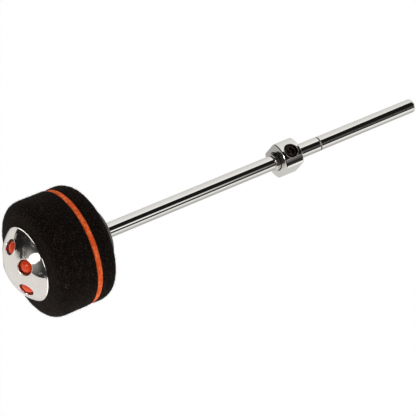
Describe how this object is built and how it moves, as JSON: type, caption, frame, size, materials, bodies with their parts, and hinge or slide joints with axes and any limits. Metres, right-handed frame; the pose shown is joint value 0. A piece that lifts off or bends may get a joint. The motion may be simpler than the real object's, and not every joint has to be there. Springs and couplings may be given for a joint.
{
  "type": "bass drum beater",
  "caption": "Bass drum beater: chromed shaft with a layered felt head under a studded domed cap, and a sliding stop collar held by a set screw; its tail clamps in a pedal hub.",
  "frame": {"origin": "on the shaft's axis, at the shoulder line where the thinner tail begins", "axes": "+Z along the shaft to the head; -Y is the side of the shaft that the picture shows"},
  "size_m": [0.0636, 0.0636, 0.2679],
  "materials": {
    "chrome": "bright chrome plate on turned steel",
    "cap_chrome": "bright chrome plate on a pressed cap",
    "black_steel": "black oxide",
    "dark_washer": "satin black",
    "black_felt": "dense pressed felt",
    "orange_felt": "dense pressed felt",
    "plain_steel": "bright zinc",
    "black_plastic": "moulded",
    "orange_plastic": "polished"
  },
  "bodies": {
    "beater": {"shaft": "chrome", "rear_washer": "dark_washer", "rear_felt": "black_felt", "orange_felt_ring": "orange_felt", "front_felt": "black_felt", "core_sleeve": "plain_steel", "clamp_plate": "plain_steel", "lock_washer": "plain_steel", "clamp_nut": "plain_steel", "stud_carrier": "black_plastic", "dome_cap": "cap_chrome", "stud_1": "orange_plastic", "stud_2": "orange_plastic", "stud_3": "orange_plastic", "stud_4": "orange_plastic", "stud_5": "orange_plastic"},
    "collar": {"stop_collar": "chrome"},
    "screw": {"set_screw": "black_steel"}
  },
  "joints": [
    {"name": "collar_slide", "type": "slide", "parent": "beater", "child": "collar", "axis": [0, 0, 1], "range_m": [-0.0164, 0.1127]},
    {"name": "screw_travel", "type": "slide", "parent": "collar", "child": "screw", "axis": [0.2419, -0.9703, 0], "range_m": [0, 0.004]}
  ]
}
